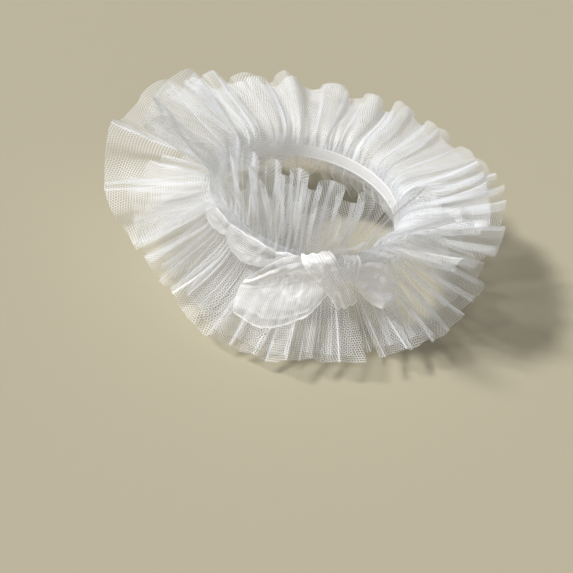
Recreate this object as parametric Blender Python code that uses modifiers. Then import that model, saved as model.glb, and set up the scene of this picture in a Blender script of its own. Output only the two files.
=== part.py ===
"""Ruff collar: two net ruffles above and two below a neck ribbon, with a ruched cover and a bow.

Frame: metres, +Z up, the neck axis is Z, the wearer faces -Y, and the wearer's left side is +X.
The seam, where every strip is gathered, lies in the plane z = 0.
Angles run from the front (-Y) towards the wearer's left side (+X), in degrees.
"""

import math
import random
from collections import namedtuple

import bpy
import bmesh
from mathutils import Vector

MM = 0.001

NET_WALL = 1.2 * MM
RIBBON_WALL = 1.1 * MM
LAYER_GAP = 0.3 * MM

RIBBON_INNER_RADIUS = 62.0 * MM
RIBBON_HALF_HEIGHT = 5.0 * MM
INNER_ROOT_RADIUS = RIBBON_INNER_RADIUS + RIBBON_WALL + LAYER_GAP + NET_WALL / 2
OUTER_ROOT_RADIUS = INNER_ROOT_RADIUS + NET_WALL + LAYER_GAP
COVER_ROOT_RADIUS = OUTER_ROOT_RADIUS + NET_WALL / 2 + 1.6 * MM + RIBBON_WALL / 2

OPENING_ANGLE = 35.0
OPENING_HALF_GAP = 1.0 * MM

INNER_ROOT_RISE = 86.0
OUTER_ROOT_RISE = 76.0
BEND_START = 8.0 * MM
BEND_END = 30.0 * MM

UPPER_PLEATS = 24
LOWER_PLEATS = 40
COLUMNS_PER_PLEAT = 6
UPPER_SPOTS = (0.0, 0.11, 0.24, 0.46, 1.0)
LOWER_SPOTS = (0.0, 0.13, 0.38, 1.0)
FOLD_OVERHANG = 0.55

# One row for each direction around the neck: elevation of the hem part in degrees, finished
# height of the strip and depth of its folds at the hem.
Fall = namedtuple("Fall", "around rise height depth")

UPPER_INNER = [
    Fall(35, 66, 78 * MM, 5.0 * MM),
    Fall(48, 46, 76 * MM, 6.0 * MM),
    Fall(70, 24, 72 * MM, 6.0 * MM),
    Fall(105, 14, 70 * MM, 6.0 * MM),
    Fall(150, 10, 68 * MM, 6.0 * MM),
    Fall(205, 8, 62 * MM, 6.0 * MM),
    Fall(235, 15, 72 * MM, 6.5 * MM),
    Fall(275, 26, 80 * MM, 7.0 * MM),
    Fall(300, 48, 76 * MM, 6.0 * MM),
    Fall(322, 76, 66 * MM, 6.5 * MM),
    Fall(360, 82, 72 * MM, 6.5 * MM),
]
UPPER_OUTER = [
    Fall(35, 40, 74 * MM, 4.5 * MM),
    Fall(50, 8, 62 * MM, 5.0 * MM),
    Fall(70, 6, 76 * MM, 7.0 * MM),
    Fall(105, 2, 81 * MM, 7.0 * MM),
    Fall(150, -3, 81 * MM, 7.0 * MM),
    Fall(205, -4, 77 * MM, 7.0 * MM),
    Fall(235, -1, 84 * MM, 7.0 * MM),
    Fall(275, 0, 90 * MM, 8.0 * MM),
    Fall(292, -14, 86 * MM, 7.0 * MM),
    Fall(307, -32, 76 * MM, 6.0 * MM),
    Fall(327, 58, 62 * MM, 6.5 * MM),
    Fall(360, 68, 72 * MM, 7.0 * MM),
]
LOWER_OUTER = [
    Fall(0, -36, 65 * MM, 6.0 * MM),
    Fall(30, -34, 67 * MM, 6.0 * MM),
    Fall(55, -26, 72 * MM, 6.0 * MM),
    Fall(90, -18, 80 * MM, 6.0 * MM),
    Fall(180, -24, 74 * MM, 6.0 * MM),
    Fall(265, -20, 76 * MM, 6.0 * MM),
    Fall(302, -38, 62 * MM, 5.5 * MM),
    Fall(335, -38, 66 * MM, 6.0 * MM),
]
LOWER_INNER = [
    Fall(0, -50, 62 * MM, 5.5 * MM),
    Fall(30, -48, 64 * MM, 5.5 * MM),
    Fall(55, -40, 68 * MM, 6.0 * MM),
    Fall(90, -33, 74 * MM, 6.0 * MM),
    Fall(180, -39, 70 * MM, 6.0 * MM),
    Fall(265, -35, 70 * MM, 6.0 * MM),
    Fall(302, -52, 60 * MM, 5.0 * MM),
    Fall(335, -52, 63 * MM, 5.5 * MM),
]

# Width of a fold beside its neighbours, by direction around the neck.
FoldWidth = namedtuple("FoldWidth", "around width")

UPPER_FOLDS = [
    FoldWidth(35, 1.0),
    FoldWidth(70, 0.8),
    FoldWidth(135, 0.85),
    FoldWidth(215, 1.0),
    FoldWidth(262, 1.6),
    FoldWidth(300, 1.3),
    FoldWidth(330, 0.9),
    FoldWidth(360, 1.0),
]
LOWER_FOLDS = [
    FoldWidth(0, 1.0),
    FoldWidth(90, 0.95),
    FoldWidth(270, 1.05),
]

# Degrees that a free end stands back from the opening at the hem.
EndSpread = namedtuple("EndSpread", "first last")

UPPER_SPREAD = EndSpread(first=9.0, last=5.0)
LOWER_SPREAD = EndSpread(first=1.5, last=1.5)

# Puffs of the ruched cover from one pinch to the next: angle of the first pinch, how far the
# puff swells out and half its height.
Puff = namedtuple("Puff", "start swell half_height")

PUFFS = [
    Puff(35, 4.0 * MM, 8.0 * MM),
    Puff(58, 5.5 * MM, 9.0 * MM),
    Puff(82, 5.5 * MM, 9.0 * MM),
    Puff(106, 5.5 * MM, 9.0 * MM),
    Puff(130, 5.5 * MM, 9.0 * MM),
    Puff(154, 5.5 * MM, 9.0 * MM),
    Puff(178, 5.5 * MM, 9.0 * MM),
    Puff(202, 5.5 * MM, 9.0 * MM),
    Puff(226, 5.5 * MM, 9.0 * MM),
    Puff(250, 5.5 * MM, 9.0 * MM),
    Puff(272, 5.0 * MM, 8.5 * MM),
    Puff(294, 6.5 * MM, 9.5 * MM),
    Puff(320, 10.0 * MM, 13.0 * MM),
    Puff(351, 5.0 * MM, 10.0 * MM),
    Puff(372, 3.0 * MM, 8.0 * MM),
    Puff(388, 3.0 * MM, 7.0 * MM),
]
PINCH_SWELL = 2.5 * MM
PINCH_HALF_HEIGHT = 6.0 * MM
COVER_COLUMNS_PER_PUFF = 6
COVER_ROWS = 5

KNOT_ANGLE = 26.5
KNOT_LEVEL = 6.0 * MM
KNOT_DEPTH = 10.0 * MM
KNOT_RADIUS = COVER_ROOT_RADIUS + 3.0 * MM + RIBBON_WALL + LAYER_GAP + KNOT_DEPTH / 2
KNOT_HEIGHT = 21.0 * MM
KNOT_WIDTH = 11.0 * MM
LOOP_END_GAP = 1.3 * MM

# A loop goes out along the collar from the knot and back behind itself: how far it reaches,
# how far its two layers stand apart, its width at the knot, in the middle and at the tip, how
# low the tip hangs and how far from the neck axis it stands.
Loop = namedtuple("Loop", "side reach swell root_width width tip_width droop tip_radius")

LEFT_LOOP = Loop(side=-1, reach=72 * MM, swell=16 * MM, root_width=7 * MM, width=36 * MM,
                 tip_width=16 * MM, droop=20 * MM, tip_radius=93 * MM)
RIGHT_LOOP = Loop(side=1, reach=36 * MM, swell=15 * MM, root_width=7 * MM, width=31 * MM,
                  tip_width=18 * MM, droop=13 * MM, tip_radius=88 * MM)
LOOP_FLARE = 0.4
LOOP_FULLNESS = 1.05

# Middle of the bow's cut end from behind the seam cover's top edge down to the cut.
TailSpot = namedtuple("TailSpot", "around radius level width")

BOW_TAIL = [
    TailSpot(8.5, 80.0 * MM, 19.5 * MM, 15 * MM),
    TailSpot(10.5, 87.3 * MM, 18.5 * MM, 17 * MM),
    TailSpot(15.5, 88.0 * MM, 8.0 * MM, 17 * MM),
    TailSpot(22.0, 88.0 * MM, -3.0 * MM, 17 * MM),
    TailSpot(28.0, 89.0 * MM, -16.0 * MM, 16 * MM),
]


def table_value(table, column, degrees):
    """Smoothly interpolated column of a table whose rows repeat every 360 degrees."""
    degrees = degrees % 360.0
    rows = sorted(table, key=lambda row: row.around % 360.0)
    before = len(rows) - 1
    for index, row in enumerate(rows):
        if row.around % 360.0 <= degrees:
            before = index
    after = (before + 1) % len(rows)
    start = rows[before].around
    span = (rows[after].around - start) % 360.0
    part = ((degrees - start) % 360.0) / span
    part = part * part * (3.0 - 2.0 * part)
    low = getattr(rows[before], column)
    high = getattr(rows[after], column)
    return low + (high - low) * part


def ring_point(degrees, radius, height):
    """Point at an angle around the neck."""
    turn = math.radians(degrees)
    return Vector((radius * math.sin(turn), -radius * math.cos(turn), height))


def rise_at(length, root_rise, hem_rise):
    """Elevation of a strip in degrees at a length from the seam."""
    part = min(max((length - BEND_START) / (BEND_END - BEND_START), 0.0), 1.0)
    return hem_rise + (root_rise - hem_rise) * (1.0 - part) ** 2


def profile_at(length, root_rise, hem_rise, steps=24):
    """Outward run and climb of a strip's centre line at a length from the seam."""
    run = 0.0
    climb = 0.0
    for step in range(steps):
        middle = length * (step + 0.5) / steps
        rise = math.radians(rise_at(middle, root_rise, hem_rise))
        run += math.cos(rise) * length / steps
        climb += math.sin(rise) * length / steps
    return run, climb


def fold_edges(table, pleats, rng):
    """Angles of the fold boundaries, from the opening once around to the opening."""
    widths = []
    for index in range(pleats):
        angle = OPENING_ANGLE + 360.0 * (index + 0.5) / pleats
        widths.append(table_value(table, "width", angle) * rng.uniform(0.65, 1.35))
    total = sum(widths)
    edges = [OPENING_ANGLE]
    for width in widths:
        edges.append(edges[-1] + 360.0 * width / total)
    return edges


def between(values, position):
    """Smooth value at a position along a list."""
    index = min(int(position), len(values) - 2)
    part = position - index
    part = part * part * (3.0 - 2.0 * part)
    return values[index] * (1.0 - part) + values[index + 1] * part


def new_material(name, colour, roughness):
    material = bpy.data.materials.new(name)
    material.use_nodes = True
    shader = material.node_tree.nodes["Principled BSDF"]
    shader.inputs["Base Color"].default_value = (*colour, 1.0)
    shader.inputs["Roughness"].default_value = roughness
    shader.inputs["Metallic"].default_value = 0.0
    return material


def sheet_object(name, columns, rows, place, wall, material, collection):
    """A sheet of cloth laid by place(across, down), both 0 to 1, with a solid wall."""
    mesh = bpy.data.meshes.new(name)
    cloth = bmesh.new()
    bmesh.ops.create_grid(cloth, x_segments=columns, y_segments=rows, size=0.5)
    for vertex in cloth.verts:
        vertex.co = place(vertex.co.x + 0.5, vertex.co.y + 0.5)
    cloth.to_mesh(mesh)
    cloth.free()
    mesh.shade_smooth()
    mesh.materials.append(material)
    thing = bpy.data.objects.new(name, mesh)
    collection.objects.link(thing)
    solid = thing.modifiers.new("wall", "SOLIDIFY")
    solid.thickness = wall
    solid.offset = 0.0
    solid.use_even_offset = True
    solid.use_rim = True
    return thing


def ruffle(name, table, folds, root_rise, root_radius, pleats, spots, spread, seed, material,
           collection):
    """One gathered strip of net, above the seam where root_rise is positive and else below."""
    side = math.copysign(1.0, root_rise)
    rng = random.Random(seed)
    edges = fold_edges(folds, pleats, rng)
    depth_change = [rng.uniform(0.75, 1.25) for _ in range(pleats + 1)]
    lean = [rng.uniform(-0.8, 0.8) for _ in range(pleats + 1)]
    hem_change = [rng.uniform(-4.0, 4.0) * MM for _ in range(pleats + 1)]
    tilt = [rng.uniform(-6.0, 6.0) for _ in range(pleats + 1)]
    rows = len(spots) - 1
    gap = math.degrees(OPENING_HALF_GAP / root_radius)

    def place(across, down):
        down = spots[round(down * rows)]
        position = across * pleats
        index = min(int(position + 0.0001), pleats - 1)
        fold_width = edges[index + 1] - edges[index]
        centre = edges[index] + fold_width * (position - index)
        turn = 2.0 * math.pi * position
        length = down * (table_value(table, "height", centre) + between(hem_change, position))
        hem_rise = table_value(table, "rise", centre) + between(tilt, position)
        run, climb = profile_at(length, root_rise, hem_rise)
        rise = math.radians(rise_at(length, root_rise, hem_rise))
        opened = down ** 1.3 * min(position, pleats - position, 1.0)
        depth = table_value(table, "depth", centre) * between(depth_change, position)
        wave = depth * opened * math.sin(turn)
        shift = between(lean, position) * math.sin(turn) - FOLD_OVERHANG * math.sin(2.0 * turn)
        angle = centre + shift * opened * fold_width / (2.0 * math.pi)
        part = (angle - OPENING_ANGLE) / 360.0
        first = OPENING_ANGLE + gap + spread.first * down ** 2
        last = OPENING_ANGLE + 360.0 - gap - spread.last * down ** 2
        radius = root_radius + run - wave * math.sin(rise)
        level = side * LAYER_GAP + climb + wave * math.cos(rise)
        return ring_point(first + (last - first) * part, radius, level)

    return sheet_object(name, pleats * COLUMNS_PER_PLEAT, rows, place, NET_WALL, material, collection)


def neck_ribbon(material, collection):
    """The flat ribbon that goes around the neck and carries every strip."""
    radius = RIBBON_INNER_RADIUS + RIBBON_WALL / 2
    gap = math.degrees(OPENING_HALF_GAP / radius)

    def place(across, down):
        angle = OPENING_ANGLE + gap + across * (360.0 - 2.0 * gap)
        return ring_point(angle, radius, RIBBON_HALF_HEIGHT * (1.0 - 2.0 * down))

    return sheet_object("neck_ribbon", 48, 1, place, RIBBON_WALL, material, collection)


def ruched_cover(material, collection):
    """The puffed ribbon that hides the seam, pinched down between its puffs."""
    count = len(PUFFS)
    ends = [puff.start for puff in PUFFS[1:]] + [OPENING_ANGLE + 360.0]
    gap = math.degrees(OPENING_HALF_GAP / COVER_ROOT_RADIUS)

    def place(across, down):
        position = across * count
        index = min(int(position + 0.0001), count - 1)
        puff = PUFFS[index]
        part = position - index
        full = max(math.sin(math.pi * part), 0.0) ** 0.7
        swell = PINCH_SWELL + (puff.swell - PINCH_SWELL) * full
        half_height = PINCH_HALF_HEIGHT + (puff.half_height - PINCH_HALF_HEIGHT) * full
        angle = puff.start + (ends[index] - puff.start) * part
        inside = (angle - OPENING_ANGLE) / 360.0
        angle = OPENING_ANGLE + gap + (360.0 - 2.0 * gap) * inside
        turn = math.pi * down
        radius = COVER_ROOT_RADIUS + swell * math.sin(turn)
        level = half_height * math.cos(turn) * (0.42 + 1.06 * math.sin(turn))
        return ring_point(angle, radius, level)

    return sheet_object("ruched_cover", count * COVER_COLUMNS_PER_PUFF, COVER_ROWS, place,
                        RIBBON_WALL, material, collection)


def bow_loop(name, loop, material, collection):
    """A ribbon loop of the bow, narrow at the knot and widest past its middle."""
    start = 0.1 * math.pi

    def place(across, down):
        turn = start + across * (2.0 * math.pi - 2.0 * start)
        away = (1.0 - math.cos(turn)) / 2.0
        side_part = 2.0 * down - 1.0
        plain = loop.root_width + (loop.tip_width - loop.root_width) * away
        bulge = loop.width - (loop.root_width + loop.tip_width) / 2.0
        width = plain + bulge * math.sin(math.pi * away ** LOOP_FULLNESS) ** 1.5
        reach = loop.reach * away * (1.0 - 0.04 * side_part ** 2 * away)
        open_part = math.sin(turn) * math.sin(turn / 2.0) ** 3
        off = LOOP_END_GAP * math.cos(turn / 2.0) + loop.swell / 2.0 * open_part
        off += LOOP_FLARE * width / 2.0 * max(-side_part, 0.0) * min(1.5 * away, 1.0) ** 2
        base = KNOT_RADIUS + (loop.tip_radius - KNOT_RADIUS) * away ** 1.8
        angle = KNOT_ANGLE + loop.side * math.degrees(reach / base)
        level = KNOT_LEVEL - loop.droop * away + width / 2.0 * side_part
        return ring_point(angle, base + off, level)

    return sheet_object(name, 22, 4, place, RIBBON_WALL, material, collection)


def bow_knot(material, collection):
    """The band wrapped once around the roots of the loops."""
    start = 0.03 * math.pi

    def place(across, down):
        turn = start + across * (2.0 * math.pi - 2.0 * start)
        rounding = 1.0 / (abs(math.cos(turn)) ** 3 + abs(math.sin(turn)) ** 3) ** (1.0 / 3.0)
        off = KNOT_DEPTH / 2.0 * math.cos(turn + math.pi) * rounding
        level = KNOT_LEVEL + KNOT_HEIGHT / 2.0 * math.sin(turn + math.pi) * rounding
        angle = KNOT_ANGLE + math.degrees(KNOT_WIDTH / KNOT_RADIUS) * (down - 0.5)
        return ring_point(angle, KNOT_RADIUS + off, level)

    return sheet_object("bow_knot", 20, 2, place, RIBBON_WALL, material, collection)


def bow_tail(material, collection):
    """The cut end of the bow's ribbon, lying slantwise over the root of the long loop."""
    rows = len(BOW_TAIL) - 1

    def place(across, down):
        spot = BOW_TAIL[round(down * rows)]
        side_part = across - 0.5
        angle = spot.around + math.degrees(spot.width * side_part / spot.radius)
        radius = spot.radius - 4.0 * MM * side_part ** 2
        return ring_point(angle, radius, spot.level + spot.width * side_part * 0.45)

    return sheet_object("bow_tail", 4, rows, place, RIBBON_WALL, material, collection)


def main():
    for thing in list(bpy.data.objects):
        bpy.data.objects.remove(thing, do_unlink=True)
    collection = bpy.data.collections.new("ruff_collar")
    bpy.context.scene.collection.children.link(collection)
    inner_net = new_material("inner_net", (0.86, 0.87, 0.88), 0.65)
    outer_net = new_material("outer_net", (0.80, 0.81, 0.83), 0.65)
    lower_net = new_material("lower_net", (0.78, 0.79, 0.80), 0.65)
    under_net = new_material("under_net", (0.74, 0.75, 0.76), 0.65)
    sheer_ribbon = new_material("sheer_ribbon", (0.90, 0.90, 0.90), 0.5)
    bow_ribbon = new_material("bow_ribbon", (0.93, 0.93, 0.93), 0.5)
    flat_ribbon = new_material("flat_ribbon", (0.88, 0.88, 0.87), 0.5)
    neck_ribbon(flat_ribbon, collection)
    ruffle("upper_ruffle_inner", UPPER_INNER, UPPER_FOLDS, INNER_ROOT_RISE, INNER_ROOT_RADIUS,
           UPPER_PLEATS, UPPER_SPOTS, UPPER_SPREAD, 12, inner_net, collection)
    ruffle("upper_ruffle_outer", UPPER_OUTER, UPPER_FOLDS, OUTER_ROOT_RISE, OUTER_ROOT_RADIUS,
           UPPER_PLEATS, UPPER_SPOTS, UPPER_SPREAD, 12, outer_net, collection)
    ruffle("lower_ruffle_inner", LOWER_INNER, LOWER_FOLDS, -INNER_ROOT_RISE, INNER_ROOT_RADIUS,
           LOWER_PLEATS, LOWER_SPOTS, LOWER_SPREAD, 8, under_net, collection)
    ruffle("lower_ruffle_outer", LOWER_OUTER, LOWER_FOLDS, -OUTER_ROOT_RISE, OUTER_ROOT_RADIUS,
           LOWER_PLEATS, LOWER_SPOTS, LOWER_SPREAD, 8, lower_net, collection)
    ruched_cover(sheer_ribbon, collection)
    bow_knot(bow_ribbon, collection)
    bow_loop("bow_loop_left", LEFT_LOOP, bow_ribbon, collection)
    bow_loop("bow_loop_right", RIGHT_LOOP, bow_ribbon, collection)
    bow_tail(bow_ribbon, collection)


main()
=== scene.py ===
"""Ruff collar of gathered hexagonal net, with a ruched sheer ribbon over its seam and a tied bow.

Metres, +Z up along the neck, the wearer faces -Y and the wearer's left side is +X.
Angles run from the front towards the wearer's left side, in degrees.
"""

import math
import random
from collections import namedtuple

import bpy
import bmesh
import numpy as np
from mathutils import Matrix, Quaternion, Vector


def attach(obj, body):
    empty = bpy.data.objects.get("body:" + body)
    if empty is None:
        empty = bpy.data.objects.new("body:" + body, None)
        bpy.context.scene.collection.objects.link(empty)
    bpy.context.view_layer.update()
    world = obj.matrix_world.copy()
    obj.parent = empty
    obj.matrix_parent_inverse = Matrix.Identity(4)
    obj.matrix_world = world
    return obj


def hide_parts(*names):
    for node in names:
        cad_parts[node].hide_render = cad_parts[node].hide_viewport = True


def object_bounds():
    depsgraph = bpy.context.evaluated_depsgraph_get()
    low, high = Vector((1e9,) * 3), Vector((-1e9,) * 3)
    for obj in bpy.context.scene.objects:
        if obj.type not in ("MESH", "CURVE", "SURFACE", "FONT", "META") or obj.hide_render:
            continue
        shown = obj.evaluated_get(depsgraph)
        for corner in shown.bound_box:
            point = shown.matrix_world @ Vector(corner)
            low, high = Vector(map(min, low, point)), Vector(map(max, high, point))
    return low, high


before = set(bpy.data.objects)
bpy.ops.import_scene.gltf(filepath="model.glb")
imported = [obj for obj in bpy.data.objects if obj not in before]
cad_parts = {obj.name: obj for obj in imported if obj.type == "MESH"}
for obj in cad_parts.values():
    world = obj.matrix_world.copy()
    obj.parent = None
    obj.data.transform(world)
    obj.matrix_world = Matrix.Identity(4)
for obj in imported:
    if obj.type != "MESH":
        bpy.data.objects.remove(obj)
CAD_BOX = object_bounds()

bl_info = {
    "name": "Ruff Collar",
    "version": (1, 0, 0),
    "blender": (4, 5, 0),
    "location": "View3D > Sidebar > Ruff Collar",
    "description": "Builds a net ruff collar with a ruched seam ribbon and a bow",
    "category": "Object",
}

MM = 0.001
ROOT_3 = math.sqrt(3.0)

# The ring: walls of the solids, and the middle radius of each layer at the seam.
NET_WALL = 1.2 * MM
RIBBON_WALL = 1.1 * MM
LAYER_GAP = 0.3 * MM
COVER_CLEARANCE = 1.6 * MM
RIBBON_INNER_RADIUS = 62.0 * MM
RIBBON_HALF_HEIGHT = 5.0 * MM
INNER_ROOT_RADIUS = RIBBON_INNER_RADIUS + RIBBON_WALL + LAYER_GAP + NET_WALL / 2
OUTER_ROOT_RADIUS = INNER_ROOT_RADIUS + NET_WALL + LAYER_GAP
COVER_ROOT_RADIUS = OUTER_ROOT_RADIUS + NET_WALL / 2 + COVER_CLEARANCE + RIBBON_WALL / 2

OPENING_ANGLE = 35.0
OPENING_HALF_GAP = 1.0 * MM

# Elevation of each strip where it leaves the seam, and where along its height it bends over.
INNER_ROOT_RISE = 86.0
OUTER_ROOT_RISE = 76.0
BEND_START = 8.0 * MM
BEND_END = 30.0 * MM
RUN_STEPS = 3

# Folds of the strips. Overhang, tuck and sway are shares of a fold's width.
UPPER_PLEATS = 24
LOWER_PLEATS = 40
FOLD_OVERHANG = 0.55
FOLD_TUCK = 1.5
FRONT_TUCK = 0.8
FOLD_SWAY = 0.16
FOLD_SHARPNESS = 0.99
STEEP_START = 50.0
STEEP_RANGE = 20.0

# How much folds differ from each other.
WIDTH_CHANGE = 0.35
DEPTH_CHANGE = 0.25
LEAN_CHANGE = 0.8
HEM_CHANGE = 4.0 * MM
TILT_CHANGE = 6.0

# Fine gathers at the seam, and the creases that handling leaves.
GATHERS_PER_FOLD = 5.0
GATHER_DEPTH = 2.1 * MM
GATHER_FADE = 3.4
CRINKLE_DEPTH = 1.4 * MM
CRINKLES_PER_FOLD = 5.2
GRAIN_PULL = 1.2 * MM

# The net's thread is thicker along the crest of a fold, and a pressed crest is closed.
CREST_REACH = 0.02
CREST_THREAD = 0.25 * MM
CREASE_START = 0.6
CREASE_COVER = 0.8
MAP_SHIFT_CELLS = 1000.0

# Woven, folded and turned-back edges of the ribbons, and the swirl in the long loop.
RIBBON_EDGE = 1.0 * MM
RIBBON_RIM = 1.1 * MM
RIM_COVER = 0.7
UPPER_FOLDED_EDGE = 0.3
LOWER_FOLDED_EDGE = 0.68
FOLDED_EDGE_REACH = 0.022
TURN_BACK_SHARE = 0.33
SWIRL_PLACE = 0.2
SWIRL_PITCH = 3.8 * MM
SWIRL_REACH = 9.0 * MM
SWIRL_SQUEEZE = 0.75

# Finish of the threads: roughness, share of light let through, and sheen.
NET_ROUGHNESS = 0.5
NET_GLOW = 0.4
RIBBON_ROUGHNESS = 0.4
RIBBON_GLOW = 0.3
THREAD_SHEEN = 0.25
CLOUD_SCALE = 110.0
CLOUD_DETAIL = 3.0
FIBRE_SCALE = 1500.0
FIBRE_DETAIL = 1.0
FIBRE_SHARE = 0.6
RIB_SHARE = 0.6
RIB_WOBBLE = 2.2

# Columns and rows of the sheets.
FOLD_COLUMNS = 40
RUFFLE_ROWS = 50
NECK_RIBBON_GRID = (240, 12)
PUFF_COLUMNS = 50
COVER_ROWS = 60
LOOP_GRID = (240, 90)
KNOT_GRID = (120, 40)
TAIL_GRID = (60, 90)

# Elevation of the hem part in degrees, finished height of the strip and depth of its folds at
# the hem, for each direction around the neck.
Fall = namedtuple("Fall", "around rise height depth")

UPPER_INNER = [
    Fall(35, 66, 78 * MM, 5.0 * MM),
    Fall(48, 46, 76 * MM, 6.0 * MM),
    Fall(70, 24, 72 * MM, 6.0 * MM),
    Fall(105, 14, 70 * MM, 6.0 * MM),
    Fall(150, 10, 68 * MM, 6.0 * MM),
    Fall(205, 8, 62 * MM, 6.0 * MM),
    Fall(235, 15, 72 * MM, 6.5 * MM),
    Fall(275, 26, 80 * MM, 7.0 * MM),
    Fall(300, 48, 76 * MM, 6.0 * MM),
    Fall(322, 76, 66 * MM, 6.5 * MM),
    Fall(360, 82, 72 * MM, 6.5 * MM),
]
UPPER_OUTER = [
    Fall(35, 40, 74 * MM, 4.5 * MM),
    Fall(50, 8, 62 * MM, 5.0 * MM),
    Fall(70, 6, 76 * MM, 7.0 * MM),
    Fall(105, 2, 81 * MM, 7.0 * MM),
    Fall(150, -3, 81 * MM, 7.0 * MM),
    Fall(205, -4, 77 * MM, 7.0 * MM),
    Fall(235, -1, 84 * MM, 7.0 * MM),
    Fall(275, 0, 90 * MM, 8.0 * MM),
    Fall(292, -14, 86 * MM, 7.0 * MM),
    Fall(307, -32, 76 * MM, 6.0 * MM),
    Fall(327, 58, 62 * MM, 6.5 * MM),
    Fall(360, 68, 72 * MM, 7.0 * MM),
]
LOWER_OUTER = [
    Fall(0, -36, 65 * MM, 6.0 * MM),
    Fall(30, -34, 67 * MM, 6.0 * MM),
    Fall(55, -26, 72 * MM, 6.0 * MM),
    Fall(90, -18, 80 * MM, 6.0 * MM),
    Fall(180, -24, 74 * MM, 6.0 * MM),
    Fall(265, -20, 76 * MM, 6.0 * MM),
    Fall(302, -38, 62 * MM, 5.5 * MM),
    Fall(335, -38, 66 * MM, 6.0 * MM),
]
LOWER_INNER = [
    Fall(0, -50, 62 * MM, 5.5 * MM),
    Fall(30, -48, 64 * MM, 5.5 * MM),
    Fall(55, -40, 68 * MM, 6.0 * MM),
    Fall(90, -33, 74 * MM, 6.0 * MM),
    Fall(180, -39, 70 * MM, 6.0 * MM),
    Fall(265, -35, 70 * MM, 6.0 * MM),
    Fall(302, -52, 60 * MM, 5.0 * MM),
    Fall(335, -52, 63 * MM, 5.5 * MM),
]

# How wide the folds are against each other, for each direction around the neck.
FoldWidth = namedtuple("FoldWidth", "around width")

UPPER_FOLDS = [
    FoldWidth(35, 1.0),
    FoldWidth(70, 0.8),
    FoldWidth(135, 0.85),
    FoldWidth(215, 1.0),
    FoldWidth(262, 1.6),
    FoldWidth(300, 1.3),
    FoldWidth(330, 0.9),
    FoldWidth(360, 1.0),
]
LOWER_FOLDS = [
    FoldWidth(0, 1.0),
    FoldWidth(90, 0.95),
    FoldWidth(270, 1.05),
]

# How far in degrees a strip's two ends draw back from the opening at the hem.
EndSpread = namedtuple("EndSpread", "first last")

UPPER_SPREAD = EndSpread(first=9.0, last=5.0)
LOWER_SPREAD = EndSpread(first=1.5, last=1.5)

# The closeness of a strip's net scales the width of its threads.
Ruffle = namedtuple("Ruffle", "node falls folds root_rise root_radius pleats spread seed grain "
                    "closeness")

RUFFLES = [
    Ruffle("upper_ruffle_inner", UPPER_INNER, UPPER_FOLDS, INNER_ROOT_RISE, INNER_ROOT_RADIUS,
           UPPER_PLEATS, UPPER_SPREAD, 12, 8.0, 1.4),
    Ruffle("upper_ruffle_outer", UPPER_OUTER, UPPER_FOLDS, OUTER_ROOT_RISE, OUTER_ROOT_RADIUS,
           UPPER_PLEATS, UPPER_SPREAD, 12, -13.0, 1.15),
    Ruffle("lower_ruffle_inner", LOWER_INNER, LOWER_FOLDS, -INNER_ROOT_RISE, INNER_ROOT_RADIUS,
           LOWER_PLEATS, LOWER_SPREAD, 8, 21.0, 0.75),
    Ruffle("lower_ruffle_outer", LOWER_OUTER, LOWER_FOLDS, -OUTER_ROOT_RISE, OUTER_ROOT_RADIUS,
           LOWER_PLEATS, LOWER_SPREAD, 8, -6.0, 0.85),
]

# Where each puff of the ruched ribbon starts, and how far it stands out and up at its middle.
Puff = namedtuple("Puff", "start swell half_height")

PUFFS = [
    Puff(35, 4.0 * MM, 8.0 * MM),
    Puff(58, 5.5 * MM, 9.0 * MM),
    Puff(82, 5.5 * MM, 9.0 * MM),
    Puff(106, 5.5 * MM, 9.0 * MM),
    Puff(130, 5.5 * MM, 9.0 * MM),
    Puff(154, 5.5 * MM, 9.0 * MM),
    Puff(178, 5.5 * MM, 9.0 * MM),
    Puff(202, 5.5 * MM, 9.0 * MM),
    Puff(226, 5.5 * MM, 9.0 * MM),
    Puff(250, 5.5 * MM, 9.0 * MM),
    Puff(272, 5.0 * MM, 8.5 * MM),
    Puff(294, 6.5 * MM, 9.5 * MM),
    Puff(320, 10.0 * MM, 13.0 * MM),
    Puff(351, 5.0 * MM, 10.0 * MM),
    Puff(372, 3.0 * MM, 8.0 * MM),
    Puff(388, 3.0 * MM, 7.0 * MM),
]
PINCH_SWELL = 2.5 * MM
PINCH_HALF_HEIGHT = 6.0 * MM
CRIMP_DEPTH = 0.8 * MM

KNOT_ANGLE = 26.5
KNOT_LEVEL = 6.0 * MM
KNOT_DEPTH = 10.0 * MM
KNOT_SEAT = 3.0 * MM
KNOT_RADIUS = COVER_ROOT_RADIUS + KNOT_SEAT + RIBBON_WALL + LAYER_GAP + KNOT_DEPTH / 2
KNOT_HEIGHT = 21.0 * MM
KNOT_WIDTH = 11.0 * MM
KNOT_START = 0.03 * math.pi
KNOT_RIDGE = 0.5 * MM
LOOP_START = 0.1 * math.pi
LOOP_END_GAP = 1.3 * MM
LOOP_FLARE = 0.4
LOOP_FULLNESS = 1.05
LOOP_RIPPLE = 1.3 * MM
SAG_PUSH = 1.6

# sag is how far the lower edge hangs below the solid's, less towards the tip, and turn_back is
# how wide the turned-back edge is.
Loop = namedtuple("Loop", "side reach swell root_width width tip_width droop tip_radius sag "
                  "turn_back")

LEFT_LOOP = Loop(side=-1, reach=72 * MM, swell=16 * MM, root_width=7 * MM, width=36 * MM,
                 tip_width=16 * MM, droop=20 * MM, tip_radius=93 * MM,
                 sag=8.5 * MM, turn_back=12 * MM)
RIGHT_LOOP = Loop(side=1, reach=36 * MM, swell=15 * MM, root_width=7 * MM, width=31 * MM,
                  tip_width=18 * MM, droop=13 * MM, tip_radius=88 * MM,
                  sag=1 * MM, turn_back=0.0)

# The middle of the bow's strap, from the top of the knot down to the cut end.
TailSpot = namedtuple("TailSpot", "around radius level width")

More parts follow.
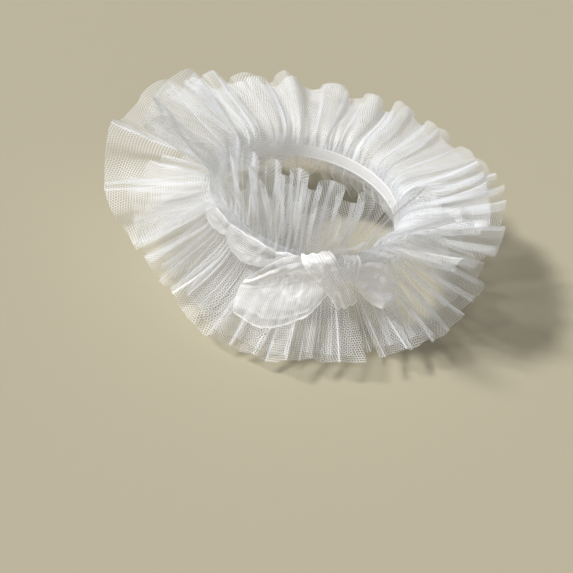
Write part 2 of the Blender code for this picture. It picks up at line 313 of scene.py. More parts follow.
BOW_TAIL = [
    TailSpot(8.5, 80.0 * MM, 19.5 * MM, 16.5 * MM),
    TailSpot(10.5, 87.3 * MM, 18.5 * MM, 19 * MM),
    TailSpot(15.5, 88.0 * MM, 8.0 * MM, 17.5 * MM),
    TailSpot(22.0, 88.0 * MM, -3.0 * MM, 14.5 * MM),
    TailSpot(28.0, 89.0 * MM, -16.0 * MM, 13 * MM),
]
TAIL_SLANT = 0.45
TAIL_BOW = 4.0 * MM
TAIL_RIPPLE = 0.8 * MM

# How deep and how far apart the creases of a crumpled ribbon are.
Crumple = namedtuple("Crumple", "depth size")

COVER_CRUMPLE = Crumple(1.8 * MM, 6.0 * MM)
LOOP_CRUMPLE = Crumple(1.2 * MM, 7.0 * MM)
KNOT_CRUMPLE = Crumple(0.5 * MM, 4.0 * MM)
TAIL_CRUMPLE = Crumple(0.9 * MM, 5.0 * MM)

# across is the direction of the cloth's map that crosses the ribs, and sheer and close are how
# much the ribbon covers between the ribs and on them.
RibbonLook = namedtuple("RibbonLook", "name across pitch sheer close")

NECK_LOOK = RibbonLook("flat_ribbon", 1, 1.2 * MM, 0.5, 0.95)
COVER_LOOK = RibbonLook("ruched_ribbon", 1, 1.0 * MM, 0.12, 0.8)
LONG_LOOP_LOOK = RibbonLook("long_loop_ribbon", 0, 1.3 * MM, 0.16, 0.64)
SHORT_LOOP_LOOK = RibbonLook("short_loop_ribbon", 1, 1.1 * MM, 0.5, 1.5)
KNOT_LOOK = RibbonLook("knot_ribbon", 0, 1.4 * MM, 0.25, 1.2)

# Camera, floor and lights. A light shines from its place towards the collar, and its spread is
# in degrees.
CAMERA_PLACE = Vector((0.0, -0.5825, 0.4132))
CAMERA_AIM = Vector((0.0001, -0.0327, -0.0517))
CAMERA_ROLL = 15.0
CAMERA_LENS = 64.7
SENSOR_WIDTH = 36.0
NEAREST_SEEN = 10.0 * MM
SEE_THROUGH_LAYERS = 64
FLOOR_GAP = 2.0 * MM
FLOOR_REACH = 60.0
FLOOR_ROUGHNESS = 0.85
SKY_COLOUR = (0.97, 0.98, 1.0, 1.0)
SKY_STRENGTH = 0.16

Light = namedtuple("Light", "name place spread strength")

LIGHTS = [
    Light("key_light", (-0.8, -0.3, 0.85), 8.0, 4.2),
    Light("fill_light", (0.3, -1.0, 0.8), 50.0, 0.55),
]


def table_values(table, column, degrees):
    """Smoothly interpolated column of a table whose rows repeat every 360 degrees."""
    degrees = np.mod(degrees, 360.0)
    rows = sorted(table, key=lambda row: row.around % 360.0)
    angles = np.array([row.around % 360.0 for row in rows])
    values = np.array([getattr(row, column) for row in rows], dtype=float)
    before = np.searchsorted(angles, degrees, side="right") - 1
    before = np.where(before < 0, len(rows) - 1, before)
    after = (before + 1) % len(rows)
    span = np.mod(angles[after] - angles[before], 360.0)
    part = np.mod(degrees - angles[before], 360.0) / span
    part = part * part * (3.0 - 2.0 * part)
    return values[before] + (values[after] - values[before]) * part


def between(values, position):
    """Smooth values at positions along a list."""
    values = np.asarray(values, dtype=float)
    index = np.minimum(position.astype(int), len(values) - 2)
    part = position - index
    part = part * part * (3.0 - 2.0 * part)
    return values[index] * (1.0 - part) + values[index + 1] * part


def ring_points(degrees, radius, height):
    """Points around the neck, as an array with x, y and z last."""
    turn = np.radians(degrees)
    return np.stack([radius * np.sin(turn), -radius * np.cos(turn), height + 0.0 * turn], axis=-1)


def rise_at(length, root_rise, hem_rise):
    """Elevation of a strip in degrees at a length from the seam."""
    part = np.clip((length - BEND_START) / (BEND_END - BEND_START), 0.0, 1.0)
    return hem_rise + (root_rise - hem_rise) * (1.0 - part) ** 2


def fold_edges(table, pleats, rng):
    """Angles of the fold boundaries, from the opening once around to the opening."""
    widths = []
    for index in range(pleats):
        angle = OPENING_ANGLE + 360.0 * (index + 0.5) / pleats
        change = rng.uniform(1.0 - WIDTH_CHANGE, 1.0 + WIDTH_CHANGE)
        widths.append(float(table_values(table, "width", angle)) * change)
    total = sum(widths)
    edges = [OPENING_ANGLE]
    for width in widths:
        edges.append(edges[-1] + 360.0 * width / total)
    return np.array(edges)


def crinkle(position, down):
    """Small sharp creases that handling leaves in net, uneven in length and depth.

    The waves' lengths have no common measure, so that the creases don't repeat.
    """
    across = position * CRINKLES_PER_FOLD
    first = np.abs(np.sin(across + 7.0 * down + 1.3 * np.sin(4.1 * down + 0.7 * across)))
    second = np.abs(np.sin(0.73 * across - 9.0 * down + 1.1 * np.sin(0.31 * across)))
    third = np.abs(np.sin(1.9 * across + 15.0 * down + 0.9 * np.sin(1.3 * across - 5.0 * down)))
    share = 0.6 + 0.4 * np.sin(0.43 * across + 2.0 * down)
    return CRINKLE_DEPTH * share * (0.9 * first + 0.7 * second + 0.4 * third - 1.0)


def ruffle_points(ruffle, columns, rows):
    """Points of a gathered strip, with how close each is to the crest of a fold."""
    rng = random.Random(ruffle.seed)
    pleats = ruffle.pleats
    edges = fold_edges(ruffle.folds, pleats, rng)
    least, most = 1.0 - DEPTH_CHANGE, 1.0 + DEPTH_CHANGE
    depth_change = [rng.uniform(least, most) for _ in range(pleats + 1)]
    lean = [rng.uniform(-LEAN_CHANGE, LEAN_CHANGE) for _ in range(pleats + 1)]
    hem_change = [rng.uniform(-HEM_CHANGE, HEM_CHANGE) for _ in range(pleats + 1)]
    tilt = [rng.uniform(-TILT_CHANGE, TILT_CHANGE) for _ in range(pleats + 1)]
    side = math.copysign(1.0, ruffle.root_rise)
    gap = math.degrees(OPENING_HALF_GAP / ruffle.root_radius)

    position = np.linspace(0.0, 1.0, columns + 1) * pleats
    index = np.minimum(position.astype(int), pleats - 1)
    fold_width = edges[index + 1] - edges[index]
    centre = edges[index] + fold_width * (position - index)
    turn = 2.0 * np.pi * position
    height = table_values(ruffle.falls, "height", centre) + between(hem_change, position)
    hem_rise = table_values(ruffle.falls, "rise", centre) + between(tilt, position)
    depth = table_values(ruffle.falls, "depth", centre) * between(depth_change, position)
    lean = between(lean, position)
    fade = np.minimum(np.minimum(position, pleats - position), 1.0)
    fine_turn = turn * GATHERS_PER_FOLD
    fine_turn = fine_turn + 2.3 * np.sin(turn * 0.37) + 1.6 * np.sin(turn * 0.83 + 1.0)
    fine_share = 0.75 + 0.45 * np.sin(turn * 0.29 + 2.0) * np.sin(turn * 0.71)

    crease = np.arcsin(FOLD_SHARPNESS * np.sin(turn)) / math.asin(FOLD_SHARPNESS)
    sway = between([rng.uniform(-1.0, 1.0) for _ in range(pleats + 1)], position) * fade
    sway_start = between([rng.uniform(0.0, 3.0) for _ in range(pleats + 1)], position)
    upright = np.clip((np.abs(hem_rise) - STEEP_START) / STEEP_RANGE, 0.0, 1.0) * (side > 0.0)
    run = np.zeros_like(centre)
    climb = np.zeros_like(centre)
    downs = np.linspace(0.0, 1.0, rows + 1)
    points = np.zeros((rows + 1, columns + 1, 3))
    for row, down in enumerate(downs):
        if row:
            step_share = (down - downs[row - 1]) / RUN_STEPS
            for step in range(RUN_STEPS):
                share = downs[row - 1] + step_share * (step + 0.5)
                rise = np.radians(rise_at(share * height, ruffle.root_rise, hem_rise))
                run += np.cos(rise) * height * step_share
                climb += np.sin(rise) * height * step_share
        rise = np.radians(rise_at(down * height, ruffle.root_rise, hem_rise))
        opened = down ** 1.3 * fade
        wave = depth * opened * crease
        tuck = FOLD_TUCK * (1.0 - down) * min(down * 8.0, 1.0)
        overhang = (FOLD_OVERHANG + tuck + FRONT_TUCK * upright * down) * fade
        gather = GATHER_DEPTH * math.exp(-down * GATHER_FADE) * min(0.4 + down * 6.0, 1.0) * fade
        wave = wave + gather * fine_share * np.sin(fine_turn)
        wave = wave + crinkle(position, down) * opened
        shift = lean * crease * opened - overhang * np.sin(2.0 * turn) * down ** 0.6
        bend = FOLD_SWAY * sway * (np.sin(3.2 * down + sway_start) - np.sin(sway_start)) * down
        angle = centre + shift * fold_width / (2.0 * np.pi) + bend * fold_width
        part = (angle - OPENING_ANGLE) / 360.0
        first = OPENING_ANGLE + gap + ruffle.spread.first * down ** 2
        last = OPENING_ANGLE + 360.0 - gap - ruffle.spread.last * down ** 2
        radius = ruffle.root_radius + run - wave * np.sin(rise)
        level = side * LAYER_GAP + climb + wave * np.cos(rise)
        points[row] = ring_points(first + (last - first) * part, radius, level)
    crest = np.clip(1.0 - (1.0 - np.abs(np.sin(turn))) / CREST_REACH, 0.0, 1.0)
    pressed = np.array([rng.uniform(0.0, 1.0) for _ in range(2 * pleats)])
    half_fold = np.minimum((position * 2.0).astype(int), 2 * pleats - 1)
    crest = crest * np.maximum(pressed[half_fold], upright)
    return points, np.broadcast_to(crest, (rows + 1, columns + 1))


def flat_map(points, flat_size, column, row, grain):
    """Places on the flat cloth, in metres, of the points at these columns and rows.

    The map is turned by the grain in degrees and gently pulled about, as net is by handling.
    """
    hem_steps = np.linalg.norm(np.diff(points[-1], axis=0), axis=1)
    along = np.concatenate([[0.0], np.cumsum(hem_steps)])
    along = along * (flat_size[0] / along[-1])
    down_steps = np.linalg.norm(np.diff(points, axis=0), axis=2).mean(axis=1)
    down = np.concatenate([[0.0], np.cumsum(down_steps)])
    down = down * (flat_size[1] / down[-1])
    across, fall = along[column], down[row]
    if grain:
        across = across + GRAIN_PULL * np.sin(across * 71.0 + fall * 43.0)
        across = across + GRAIN_PULL * np.sin(fall * 118.0 - across * 29.0)
        pull = np.sin(across * 57.0 - fall * 61.0) + np.sin(across * 133.0 + 2.0)
        fall = fall + GRAIN_PULL * pull
    turn = math.radians(grain)
    return np.stack([across * math.cos(turn) - fall * math.sin(turn),
                     across * math.sin(turn) + fall * math.cos(turn)], axis=-1)


def cloth_object(name, points, flat_size, crest, grain):
    """A sheet of cloth through rows of points, with a map of the flat cloth.

    The crest is 1 where the cloth is closest, at the crest of a fold or a woven edge.
    """
    rows, columns = points.shape[0] - 1, points.shape[1] - 1
    mesh = bpy.data.meshes.new(name)
    cloth = bmesh.new()
    bmesh.ops.create_grid(cloth, x_segments=columns, y_segments=rows, size=0.5, calc_uvs=True)
    cloth.to_mesh(mesh)
    cloth.free()
    flat = np.empty(len(mesh.vertices) * 3)
    mesh.vertices.foreach_get("co", flat)
    flat = flat.reshape(-1, 3) + 0.5
    column = np.rint(flat[:, 0] * columns).astype(int)
    row = np.rint(flat[:, 1] * rows).astype(int)
    mesh.vertices.foreach_set("co", points[row, column].ravel())
    corners = np.empty(len(mesh.loops), dtype=int)
    mesh.loops.foreach_get("vertex_index", corners)
    layer = mesh.uv_layers[0] if mesh.uv_layers else mesh.uv_layers.new(name="flat_cloth")
    layer.name = "flat_cloth"
    spots = flat_map(points, flat_size, column[corners], row[corners], grain)
    layer.data.foreach_set("uv", spots.ravel())
    closer = mesh.attributes.new("crest", "FLOAT", "POINT")
    closer.data.foreach_set("value", crest[row, column].astype(np.float32))
    mesh.shade_smooth()
    mesh.update()
    thing = bpy.data.objects.new(name, mesh)
    bpy.context.scene.collection.objects.link(thing)
    return thing


def rims(points, ends=False):
    """1 at a ribbon's woven edges and fading to 0 beside them."""
    rows, columns = points.shape[0] - 1, points.shape[1] - 1
    step = np.linalg.norm(np.diff(points, axis=0), axis=2).mean(axis=0)
    row = np.arange(rows + 1)[:, None] * np.ones(columns + 1)[None, :]
    near = np.minimum(row, rows - row) * step.max() / RIBBON_RIM
    if ends:
        along = np.linalg.norm(np.diff(points, axis=1), axis=2).mean()
        column = np.arange(columns + 1)[None, :] * np.ones(rows + 1)[:, None]
        near = np.minimum(near, np.minimum(column, columns - column) * along / RIBBON_RIM)
    return np.clip(1.3 - near, 0.0, 1.0)


def loop_rims(points, loop):
    """The woven edges of a bow loop, its turned-back edge and the swirl beside the knot."""
    rows, columns = points.shape[0] - 1, points.shape[1] - 1
    edge = rims(points)
    if loop.turn_back == 0.0:
        return edge
    along = np.linspace(0.0, 1.0, columns + 1)[None, :]
    side = np.linspace(-0.5, 0.5, rows + 1)[:, None]
    part = np.clip((along - 0.5 + TURN_BACK_SHARE) / TURN_BACK_SHARE, 0.0, 1.0)
    from_top = (0.5 - side) * loop.width
    turned = from_top < loop.turn_back * np.sin(math.pi * part)
    away = (along - SWIRL_PLACE) * 2.0 * loop.reach
    beside = side * loop.width * SWIRL_SQUEEZE
    reach = np.hypot(away, beside)
    phase = np.mod(reach / SWIRL_PITCH - np.arctan2(beside, away) / (2.0 * math.pi), 1.0)
    swirl = np.exp(-((phase - 0.5) / 0.2) ** 2) * np.clip(2.0 - reach / SWIRL_REACH * 2.0, 0.0, 1.0)
    return np.maximum(edge, np.maximum(0.9 * turned, 0.9 * swirl))


def puff_rims(points):
    """Closer cloth on the two folded edges of the ruched ribbon, fading into each pinch."""
    rows, columns = points.shape[0] - 1, points.shape[1] - 1
    down = np.linspace(0.0, 1.0, rows + 1)[:, None]
    part = np.mod(np.linspace(0.0, 1.0, columns + 1) * len(PUFFS), 1.0)[None, :]
    open_share = np.sin(math.pi * part)
    upper = (down - UPPER_FOLDED_EDGE + 0.08 * open_share) / FOLDED_EDGE_REACH
    lower = (down - LOWER_FOLDED_EDGE - 0.1 * open_share) / FOLDED_EDGE_REACH
    closer = np.maximum(np.exp(-upper ** 2), np.exp(-lower ** 2))
    return closer * (0.35 + 0.65 * open_share)


def crumple(points, amount):
    """The same points, pushed in and out along the radius in small sharp creases."""
    x, y, z = np.moveaxis(points / amount.size, -1, 0)
    first = np.abs(np.sin(1.9 * x + 1.3 * y + 1.1 * z + 0.8 * np.sin(2.3 * z + y)))
    second = np.abs(np.sin(1.2 * y - 1.7 * z + 2.1 * x + 1.1 * np.sin(1.7 * x - z)))
    third = np.abs(np.sin(2.9 * z - 0.7 * x + 2.3 * y + 0.9 * np.sin(2.9 * y)))
    push = amount.depth * (0.5 * first + 0.3 * second + 0.2 * third - 0.5)
    outward = points.copy()
    outward[..., 2] = 0.0
    outward /= np.linalg.norm(outward, axis=-1, keepdims=True)
    return points + outward * push[..., None]


def hem_length(points):
    """Length of a sheet's last row."""
    return float(np.linalg.norm(np.diff(points[-1], axis=0), axis=1).sum())


def side_length(points):
    """Mean length of a sheet's columns."""
    return float(np.linalg.norm(np.diff(points, axis=0), axis=2).sum(axis=0).mean())


class NodeDesk:
    """Places and wires the nodes of one material."""

    def __init__(self, name):
        self.material = bpy.data.materials.new(name)
        self.material.use_nodes = True
        self.tree = self.material.node_tree
        self.tree.nodes.clear()
        self.column = 0

    def node(self, kind, **settings):
        """Adds a node and sets its settings."""
        made = self.tree.nodes.new(kind)
        for key, value in settings.items():
            setattr(made, key, value)
        self.column += 1
        made.location = (self.column * 180 - 2400, -(self.column % 5) * 160)
        return made

    def feed(self, socket, value):
        """Links a socket to a socket, or sets it to a value."""
        if isinstance(value, bpy.types.NodeSocket):
            self.tree.links.new(value, socket)
        else:
            socket.default_value = value

    def number(self, operation, *values, clamp=False):
        """Result of a sum on numbers."""
        made = self.node("ShaderNodeMath", operation=operation, use_clamp=clamp)
        for socket, value in zip(made.inputs, values):
            self.feed(socket, value)
        return made.outputs[0]

    def vector(self, operation, *values):
        """Result of a sum on vectors."""
        made = self.node("ShaderNodeVectorMath", operation=operation)
        for socket, value in zip(made.inputs, values):
            self.feed(socket, value)
        return made.outputs["Value"] if operation in {"LENGTH", "DOT_PRODUCT"} else made.outputs[0]


def hexagon_threads(desk, cell, thread):
    """1 on the threads of a hexagonal net and 0 in its holes, laid out on the flat cloth."""
    place = desk.node("ShaderNodeUVMap", uv_map="flat_cloth").outputs[0]
    spot = desk.vector("MULTIPLY", place, (1.0 / cell, 1.0 / cell, 0.0))
    spot = desk.vector("ADD", spot, (MAP_SHIFT_CELLS, MAP_SHIFT_CELLS * ROOT_3, 0.0))
    step = (1.0, ROOT_3, 1.0)
    half = (0.5, ROOT_3 / 2.0, 0.0)
    first = desk.vector("SUBTRACT", desk.vector("MODULO", spot, step), half)
    shifted = desk.vector("ADD", spot, half)
    second = desk.vector("SUBTRACT", desk.vector("MODULO", shifted, step), half)
    nearer = desk.number("LESS_THAN", desk.vector("LENGTH", first), desk.vector("LENGTH", second))
    pick = desk.node("ShaderNodeMix", data_type="VECTOR")
    desk.feed(pick.inputs[0], nearer)
    desk.feed(pick.inputs[4], second)
    desk.feed(pick.inputs[5], first)
    local = desk.vector("ABSOLUTE", pick.outputs[1])
    slanted = desk.vector("DOT_PRODUCT", local, half)
    split = desk.node("ShaderNodeSeparateXYZ")
    desk.feed(split.inputs[0], local)
    reach = desk.number("MAXIMUM", split.outputs[0], slanted)
    to_edge = desk.number("SUBTRACT", 0.5, reach)
    half_thread = desk.number("MULTIPLY", thread, 0.5 / cell)
    return desk.number("LESS_THAN", to_edge, half_thread)


def cloth_shader(desk, colour, roughness, glow, cover):
    """Matt thread that lets some light through, over a see-through ground."""
    thread = desk.node("ShaderNodeBsdfPrincipled")
    desk.feed(thread.inputs["Base Color"], colour)
    desk.feed(thread.inputs["Roughness"], roughness)
    thread.inputs["Sheen Weight"].default_value = THREAD_SHEEN
    through = desk.node("ShaderNodeBsdfTranslucent")
    desk.feed(through.inputs["Color"], colour)
    lit = desk.node("ShaderNodeMixShader")
    lit.inputs[0].default_value = glow
    desk.tree.links.new(thread.outputs[0], lit.inputs[1])
    desk.tree.links.new(through.outputs[0], lit.inputs[2])
    clear = desk.node("ShaderNodeBsdfTransparent")
    mixed = desk.node("ShaderNodeMixShader")
    desk.feed(mixed.inputs[0], cover)
    desk.tree.links.new(clear.outputs[0], mixed.inputs[1])
    desk.tree.links.new(lit.outputs[0], mixed.inputs[2])
    output = desk.node("ShaderNodeOutputMaterial")
    desk.tree.links.new(mixed.outputs[0], output.inputs["Surface"])
    return desk.material


def net_material(name, colour, cell, thread):
    """Stiff white hexagonal net, closer along the creases of its folds."""
    desk = NodeDesk(name)
    crest = desk.node("ShaderNodeAttribute", attribute_name="crest").outputs["Fac"]
    thick = desk.number("ADD", thread, desk.number("MULTIPLY", crest, CREST_THREAD))
    edge = desk.number("MULTIPLY", desk.number("GREATER_THAN", crest, CREASE_START), CREASE_COVER)
    cover = desk.number("MAXIMUM", hexagon_threads(desk, cell, thick), edge)
    return cloth_shader(desk, (*colour, 1.0), NET_ROUGHNESS, NET_GLOW, cover)


def ribbon_material(look, colour):
    """Sheer ribbon with fine ribs and closer edges."""
    desk = NodeDesk(look.name)
    place = desk.node("ShaderNodeUVMap", uv_map="flat_cloth").outputs[0]
    split = desk.node("ShaderNodeSeparateXYZ")
    desk.feed(split.inputs[0], place)
    cloud = desk.node("ShaderNodeTexNoise")
    desk.feed(cloud.inputs["Vector"], place)
    cloud.inputs["Scale"].default_value = CLOUD_SCALE
    cloud.inputs["Detail"].default_value = CLOUD_DETAIL
    wobble = desk.number("MULTIPLY", cloud.outputs["Fac"], RIB_WOBBLE)
    beat = desk.number("MULTIPLY", split.outputs[look.across], 2.0 * math.pi / look.pitch)
    rib = desk.number("SINE", desk.number("ADD", beat, wobble))
    rib = desk.number("MULTIPLY", desk.number("MULTIPLY_ADD", rib, 0.5, 0.5), cloud.outputs["Fac"])
    fibre = desk.node("ShaderNodeTexNoise")
    desk.feed(fibre.inputs["Vector"], place)
    fibre.inputs["Scale"].default_value = FIBRE_SCALE
    fibre.inputs["Detail"].default_value = FIBRE_DETAIL
    rim = desk.node("ShaderNodeAttribute", attribute_name="crest").outputs["Fac"]
    rib = desk.number("MULTIPLY", rib, RIB_SHARE)
    mix = desk.number("MULTIPLY_ADD", fibre.outputs["Fac"], FIBRE_SHARE, rib)
    cover = desk.number("MULTIPLY_ADD", mix, look.close - look.sheer, look.sheer)
    cover = desk.number("MULTIPLY_ADD", rim, RIM_COVER, cover, clamp=True)
    return cloth_shader(desk, (*colour, 1.0), RIBBON_ROUGHNESS, RIBBON_GLOW, cover)


def floor_material(colour):
    """Plain matt floor."""
    desk = NodeDesk("pale_floor")
    shader = desk.node("ShaderNodeBsdfPrincipled")
    shader.inputs["Base Color"].default_value = (*colour, 1.0)
    shader.inputs["Roughness"].default_value = FLOOR_ROUGHNESS
    output = desk.node("ShaderNodeOutputMaterial")
    desk.tree.links.new(shader.outputs[0], output.inputs["Surface"])
    return desk.material


def cover_points(columns, rows):
    """Points of the ruched ribbon, crimped lengthwise into each pinch."""
    count = len(PUFFS)
    starts = np.array([puff.start for puff in PUFFS] + [OPENING_ANGLE + 360.0])
    swells = np.array([puff.swell for puff in PUFFS])
    heights = np.array([puff.half_height for puff in PUFFS])
    gap = math.degrees(OPENING_HALF_GAP / COVER_ROOT_RADIUS)
    position = np.linspace(0.0, 1.0, columns + 1) * count
    index = np.minimum((position + 1e-9).astype(int), count - 1)
    part = position - index
    full = np.clip(np.sin(np.pi * part), 0.0, None) ** 0.7
    swell = PINCH_SWELL + (swells[index] - PINCH_SWELL) * full
    half_height = PINCH_HALF_HEIGHT + (heights[index] - PINCH_HALF_HEIGHT) * full
    angle = starts[index] + (starts[index + 1] - starts[index]) * part
    inside = (angle - OPENING_ANGLE) / 360.0
    angle = OPENING_ANGLE + gap + (360.0 - 2.0 * gap) * inside
    points = np.zeros((rows + 1, columns + 1, 3))
    for row in range(rows + 1):
        down = row / rows
        turn = math.pi * down
        crimp = CRIMP_DEPTH * math.sin(turn) * (1.0 - 0.6 * full)
        crimp = crimp * np.sin(turn * 7.0 + 1.4 * np.sin(position * 3.1) + 0.9 * np.sin(position * 9.7))
        radius = COVER_ROOT_RADIUS + swell * math.sin(turn) + crimp
        level = half_height * math.cos(turn) * (0.42 + 1.06 * math.sin(turn))
        points[row] = ring_points(angle, radius, level)
    return points


def loop_points(loop, columns, rows):
    """Points of a bow loop, narrow at the knot and widest past its middle."""
    points = np.zeros((rows + 1, columns + 1, 3))
    turn = np.linspace(LOOP_START, 2.0 * math.pi - LOOP_START, columns + 1)
    away = (1.0 - np.cos(turn)) / 2.0
    plain = loop.root_width + (loop.tip_width - loop.root_width) * away
    bulge = loop.width - (loop.root_width + loop.tip_width) / 2.0
    width = plain + bulge * np.clip(np.sin(math.pi * away ** LOOP_FULLNESS), 0.0, None) ** 1.5
    open_part = np.sin(turn) * np.sin(turn / 2.0) ** 3
    base = KNOT_RADIUS + (loop.tip_radius - KNOT_RADIUS) * away ** 1.8
    for row in range(rows + 1):
        side_part = 2.0 * row / rows - 1.0
        reach = loop.reach * away * (1.0 - 0.04 * side_part ** 2 * away)
        lower = max(-side_part, 0.0)
        flare = LOOP_FLARE * width / 2.0 * lower * np.minimum(1.5 * away, 1.0) ** 2
        sag = loop.sag * lower * np.clip(4.0 * away - 0.2, 0.0, 1.0) * (1.0 - 0.5 * away)
        off = LOOP_END_GAP * np.cos(turn / 2.0) + loop.swell / 2.0 * open_part
        off = off + flare + SAG_PUSH * sag
        ripple = LOOP_RIPPLE * np.sin(side_part * 9.0 + 1.5 * away) * np.sin(turn / 2.0)
        ripple = ripple * (1.0 - 0.45 * away)
        angle = KNOT_ANGLE + loop.side * np.degrees(reach / base)
        level = KNOT_LEVEL - loop.droop * away + width / 2.0 * side_part - sag
        points[row] = ring_points(angle, base + off + ripple, level)
    return points


def knot_points(columns, rows):
    """Points of the band wrapped round the roots of the loops."""
    turn = np.linspace(KNOT_START, 2.0 * math.pi - KNOT_START, columns + 1)
    rounding = 1.0 / (np.abs(np.cos(turn)) ** 3 + np.abs(np.sin(turn)) ** 3) ** (1.0 / 3.0)
    off = -KNOT_DEPTH / 2.0 * np.cos(turn) * rounding
    level = KNOT_LEVEL - KNOT_HEIGHT / 2.0 * np.sin(turn) * rounding
    points = np.zeros((rows + 1, columns + 1, 3))
    for row in range(rows + 1):
        down = row / rows
        ridge = KNOT_RIDGE * np.cos(down * 3.0 * 2.0 * math.pi + 0.6 * np.sin(turn))
        angle = KNOT_ANGLE + math.degrees(KNOT_WIDTH / KNOT_RADIUS) * (down - 0.5)
        grow = 1.0 + ridge / (KNOT_DEPTH / 2.0)
        points[row] = ring_points(angle + 0.0 * turn, KNOT_RADIUS + off * grow, level)
    return points


def smooth_row(spots, share):
    """Values at a share of the way down a table, on a smooth curve through its rows."""
    place = share * (len(spots) - 1)
    index = min(int(place), len(spots) - 2)
    part = place - index
    start, end = spots[index], spots[index + 1]
    before = spots[index - 1] if index else 2.0 * start - end
    after = spots[index + 2] if index + 2 < len(spots) else 2.0 * end - start
    in_slope, out_slope = (end - before) / 2.0, (after - start) / 2.0
    lift = part * part * (3.0 - 2.0 * part)
    return (start + (end - start) * lift + in_slope * part * (1.0 - part) ** 2
            - out_slope * part * part * (1.0 - part))


def tail_points(columns, rows):
    """Points of the bow's cut end, slanting down over the root of the long loop."""
    spots = np.array(BOW_TAIL)
    points = np.zeros((rows + 1, columns + 1, 3))
    side_part = np.linspace(-0.5, 0.5, columns + 1)
    for row in range(rows + 1):
        down = row / rows
        around, radius, level, width = smooth_row(spots, down)
        angle = around + np.degrees(width * side_part / radius)
        bend = 3.0 * down + 1.2 * math.sin(7.0 * down)
        ripple = TAIL_RIPPLE * np.sin(side_part * 17.0 + bend)
        reach = radius - TAIL_BOW * side_part ** 2 + ripple
        points[row] = ring_points(angle, reach, level + width * side_part * TAIL_SLANT)
    return points


def ribbon_points(columns, rows):
    """Points of the flat ribbon that goes round the neck."""
    radius = RIBBON_INNER_RADIUS + RIBBON_WALL / 2
    gap = math.degrees(OPENING_HALF_GAP / radius)
    angle = np.linspace(OPENING_ANGLE + gap, OPENING_ANGLE + 360.0 - gap, columns + 1)
    points = np.zeros((rows + 1, columns + 1, 3))
    for row in range(rows + 1):
        height = RIBBON_HALF_HEIGHT * (1.0 - 2.0 * row / rows)
        points[row] = ring_points(angle, radius, height)
    return points


def place_cloth(name, points, material, crest, edge=0.0,
                grain=0.0):
    """Makes a cloth piece in place of the solid of the same name, with its flat map sized to its cut.

    The edge is the thickness of a woven edge, which adds to the width of the cut.
    """
    size = (hem_length(points), side_length(points) + edge)
    piece = cloth_object(name + "_cloth", points, size, crest, grain)
    piece.data.materials.append(material)
    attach(piece, "root")
    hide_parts(name)


class RuffNetSettings(bpy.types.PropertyGroup):
    """Sizes and colour of the net."""
    colour: bpy.props.FloatVectorProperty(
        name="Net colour", description="Colour of the net's thread", subtype="COLOR", size=3,
        min=0.0, max=1.0, default=(0.93, 0.945, 0.975))
    cell: bpy.props.FloatProperty(
        name="Net cell", description="Width of one hexagon of the net", unit="LENGTH",
        default=1.85 * MM, min=0.5 * MM, max=6.0 * MM, precision=5)
    thread: bpy.props.FloatProperty(
        name="Net thread", description="Width of the net's thread", unit="LENGTH",
        default=0.3 * MM, min=0.05 * MM, max=2.0 * MM, precision=5)


class RuffRibbonSettings(bpy.types.PropertyGroup):
    """Colour of the sheer ribbon."""
    colour: bpy.props.FloatVectorProperty(
        name="Ribbon colour", description="Colour of the sheer ribbon", subtype="COLOR", size=3,
        min=0.0, max=1.0, default=(0.96, 0.96, 0.97))


class RuffStageSettings(bpy.types.PropertyGroup):
    """Colour of the floor."""
    floor: bpy.props.FloatVectorProperty(
        name="Floor colour", description="Colour of the pale floor", subtype="COLOR", size=3,
        min=0.0, max=1.0, default=(0.41, 0.37, 0.265))


class RUFF_OT_stage(bpy.types.Operator):
    """Add the floor, the soft lights and the camera"""
    bl_idname = "ruff.stage"
    bl_label = "Stage"

    def execute(self, context):
        settings = context.scene.ruff_stage
        level = CAD_BOX[0][2] - FLOOR_GAP
        mesh = bpy.data.meshes.new("floor")
        ground = bmesh.new()
        bmesh.ops.create_grid(ground, x_segments=1, y_segments=1, size=FLOOR_REACH)
        ground.to_mesh(mesh)
        ground.free()
        floor = bpy.data.objects.new("floor", mesh)
        floor.location = (0.0, 0.0, level)
        context.scene.collection.objects.link(floor)
        mesh.materials.append(floor_material(tuple(settings.floor)))

        world = bpy.data.worlds.new("studio")
        world.use_nodes = True
        world.node_tree.nodes["Background"].inputs[0].default_value = SKY_COLOUR
        world.node_tree.nodes["Background"].inputs[1].default_value = SKY_STRENGTH
        context.scene.world = world

        for light in LIGHTS:
            data = bpy.data.lights.new(light.name, "SUN")
            data.angle = math.radians(light.spread)
            data.energy = light.strength
            lamp = bpy.data.objects.new(light.name, data)
            lamp.location = light.place
            lamp.rotation_euler = (-Vector(light.place)).to_track_quat("-Z", "Y").to_euler()
            context.scene.collection.objects.link(lamp)

        data = bpy.data.cameras.new("camera")
        data.lens = CAMERA_LENS
        data.sensor_width = SENSOR_WIDTH
        data.clip_start = NEAREST_SEEN
        camera = bpy.data.objects.new("camera", data)
        aim = (CAMERA_AIM - CAMERA_PLACE).to_track_quat("-Z", "Y")
        roll = Quaternion((0.0, 0.0, 1.0), math.radians(CAMERA_ROLL))
        camera.matrix_world = Matrix.LocRotScale(CAMERA_PLACE, aim @ roll, None)
        context.scene.collection.objects.link(camera)
        context.scene.camera = camera
        context.scene.cycles.transparent_max_bounces = SEE_THROUGH_LAYERS
        context.scene.view_settings.view_transform = "Standard"
        return {"FINISHED"}


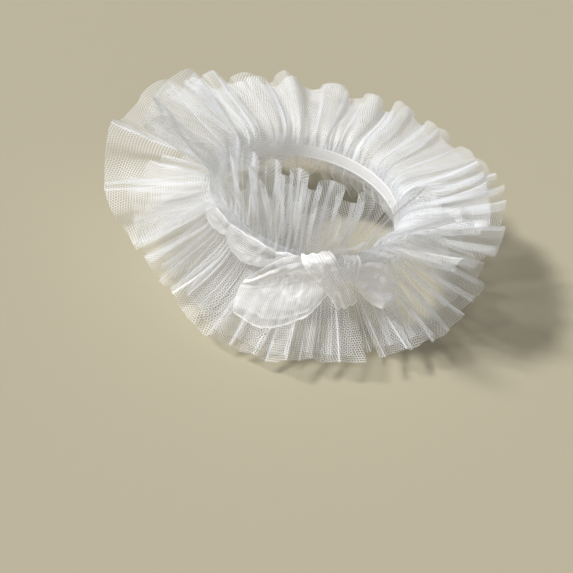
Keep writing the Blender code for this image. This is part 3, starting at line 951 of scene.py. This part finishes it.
class RUFF_OT_ruffles(bpy.types.Operator):
    """Add the four gathered strips of net"""
    bl_idname = "ruff.ruffles"
    bl_label = "Net ruffles"

    def execute(self, context):
        settings = context.scene.ruff_net
        for ruffle in RUFFLES:
            thread = settings.thread * ruffle.closeness
            name = ruffle.node + "_net"
            material = net_material(name, tuple(settings.colour), settings.cell, thread)
            columns = ruffle.pleats * FOLD_COLUMNS
            points, crest = ruffle_points(ruffle, columns, RUFFLE_ROWS)
            place_cloth(ruffle.node, points, material, crest,
                        grain=ruffle.grain)
        return {"FINISHED"}


class RUFF_OT_ribbons(bpy.types.Operator):
    """Add the flat neck ribbon and the ruched ribbon over the seam"""
    bl_idname = "ruff.ribbons"
    bl_label = "Neck ribbon and seam ruching"

    def execute(self, context):
        colour = tuple(context.scene.ruff_ribbon.colour)
        flat = ribbon_material(NECK_LOOK, colour)
        points = ribbon_points(*NECK_RIBBON_GRID)
        place_cloth("neck_ribbon", points, flat, rims(points), edge=RIBBON_EDGE)
        sheer = ribbon_material(COVER_LOOK, colour)
        points = crumple(cover_points(len(PUFFS) * PUFF_COLUMNS, COVER_ROWS), COVER_CRUMPLE)
        place_cloth("ruched_cover", points, sheer, puff_rims(points))
        return {"FINISHED"}


class RUFF_OT_bow(bpy.types.Operator):
    """Add the bow's knot, loops and cut end"""
    bl_idname = "ruff.bow"
    bl_label = "Bow"

    def execute(self, context):
        colour = tuple(context.scene.ruff_ribbon.colour)
        long_sheer = ribbon_material(LONG_LOOP_LOOK, colour)
        short_sheer = ribbon_material(SHORT_LOOP_LOOK, colour)
        dense = ribbon_material(KNOT_LOOK, colour)
        for node, loop, sheer in (("bow_loop_left", LEFT_LOOP, long_sheer),
                                  ("bow_loop_right", RIGHT_LOOP, short_sheer)):
            points = crumple(loop_points(loop, *LOOP_GRID), LOOP_CRUMPLE)
            rim = loop_rims(points, loop)
            place_cloth(node, points, sheer, rim)
        points = crumple(knot_points(*KNOT_GRID), KNOT_CRUMPLE)
        place_cloth("bow_knot", points, dense, rims(points))
        points = crumple(tail_points(*TAIL_GRID), TAIL_CRUMPLE)
        place_cloth("bow_tail", points, dense, rims(points, ends=True))
        return {"FINISHED"}


class RUFF_PT_panel(bpy.types.Panel):
    """Ruff collar builder"""
    bl_label = "Ruff Collar"
    bl_idname = "RUFF_PT_panel"
    bl_space_type = "VIEW_3D"
    bl_region_type = "UI"
    bl_category = "Ruff Collar"

    def draw(self, context):
        layout = self.layout
        for group in (context.scene.ruff_net, context.scene.ruff_ribbon, context.scene.ruff_stage):
            box = layout.box()
            for key in group.bl_rna.properties.keys():
                if key not in {"rna_type", "name"}:
                    box.prop(group, key)
        for operator in (RUFF_OT_stage, RUFF_OT_ruffles, RUFF_OT_ribbons, RUFF_OT_bow):
            layout.operator(operator.bl_idname)


CLASSES = (
    RuffNetSettings,
    RuffRibbonSettings,
    RuffStageSettings,
    RUFF_OT_stage,
    RUFF_OT_ruffles,
    RUFF_OT_ribbons,
    RUFF_OT_bow,
    RUFF_PT_panel,
)


def register():
    """Adds the classes and the scene's settings."""
    for cls in CLASSES:
        bpy.utils.register_class(cls)
    bpy.types.Scene.ruff_net = bpy.props.PointerProperty(type=RuffNetSettings)
    bpy.types.Scene.ruff_ribbon = bpy.props.PointerProperty(type=RuffRibbonSettings)
    bpy.types.Scene.ruff_stage = bpy.props.PointerProperty(type=RuffStageSettings)


def unregister():
    """Takes the settings and the classes away again."""
    del bpy.types.Scene.ruff_net
    del bpy.types.Scene.ruff_ribbon
    del bpy.types.Scene.ruff_stage
    for cls in reversed(CLASSES):
        bpy.utils.unregister_class(cls)


def main():
    """Builds the stage and the collar."""
    register()
    bpy.ops.ruff.stage()
    bpy.ops.ruff.ruffles()
    bpy.ops.ruff.ribbons()
    bpy.ops.ruff.bow()


if __name__ == "__main__":
    main()
